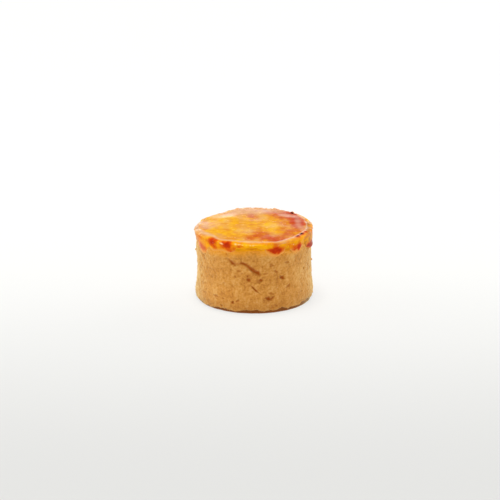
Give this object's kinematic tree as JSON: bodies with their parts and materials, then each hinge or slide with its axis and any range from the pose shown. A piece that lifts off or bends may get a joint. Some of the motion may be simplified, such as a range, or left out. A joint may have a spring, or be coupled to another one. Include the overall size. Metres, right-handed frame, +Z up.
{
  "type": "lemon tart",
  "caption": "Small straight-sided lemon tart: a shortcrust cup filled with lemon custard, topped with a thin glossy lid of burnt sugar that drips over the edge.",
  "frame": {"origin": "on the table under the middle of the tart", "axes": "+Z up along the tart's round axis; the side that the picture shows faces -Y"},
  "size_m": [0.0554, 0.0555, 0.0351],
  "materials": {
    "pastry": "baked shortcrust, matte and finely pitted",
    "filling": "set lemon custard, smooth and moist",
    "sugar": "caramelised sugar, glassy, scorched red-brown in patches"
  },
  "bodies": {
    "root": {"pastry_case": "pastry", "lemon_filling": "filling", "sugar_lid": "sugar"}
  },
  "joints": []
}
